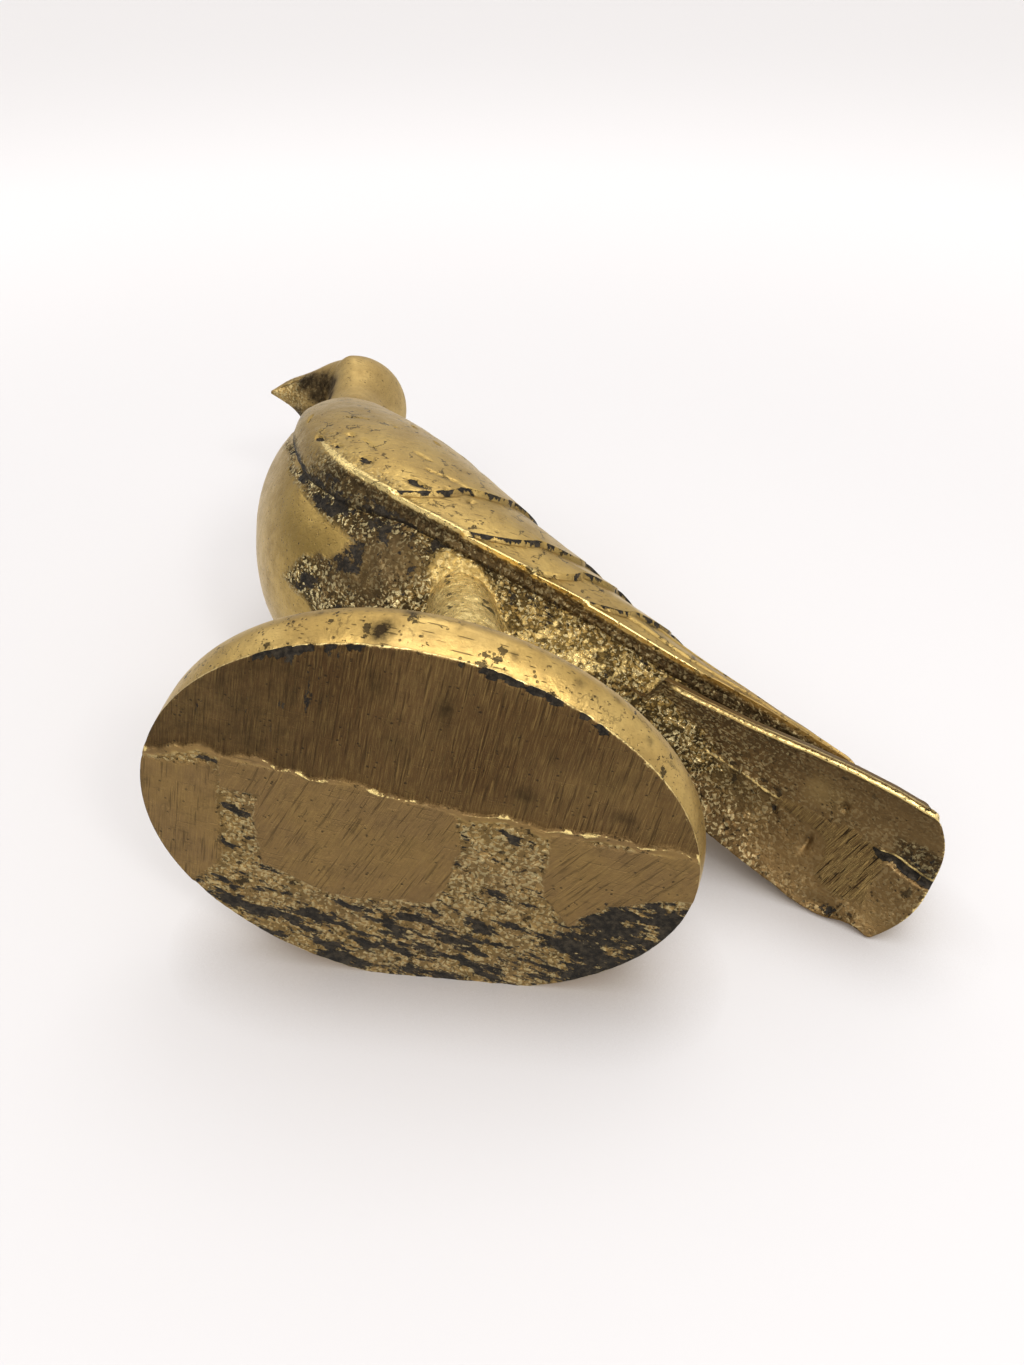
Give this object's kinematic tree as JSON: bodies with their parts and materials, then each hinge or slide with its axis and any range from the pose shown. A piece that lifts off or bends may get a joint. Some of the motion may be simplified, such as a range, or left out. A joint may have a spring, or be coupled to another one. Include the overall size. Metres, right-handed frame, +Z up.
{
  "type": "brass pigeon figurine",
  "caption": "Cast brass pigeon with folded feathered wings and a long blade tail, standing on an oval plinth with a flat sawn underside.",
  "frame": {"origin": "middle of the plinth's flat underside, on the plane the figurine stands on", "axes": "+X forward to the beak tip, +Y to the bird's left, +Z up"},
  "size_m": [0.1311, 0.0596, 0.1434],
  "materials": {
    "plinth": "polished wall, sawn and ground underside with dark patina along one side",
    "leg_left": "half polished over fine pits",
    "leg_right": "half polished over fine pits",
    "body": "polished breast, rough dark as-cast belly",
    "head": "smooth polish, dark patch behind the beak",
    "wing_left": "polished, dark in the feather steps, bright worn ridge",
    "wing_right": "polished, dark in the feather steps, bright worn ridge",
    "tail": "brown satin underside with file marks, bright worn edges"
  },
  "bodies": {
    "root": {"plinth": "plinth", "leg_left": "leg_left", "leg_right": "leg_right", "body": "body", "head": "head", "wing_left": "wing_left", "wing_right": "wing_right", "tail": "tail"}
  },
  "joints": []
}
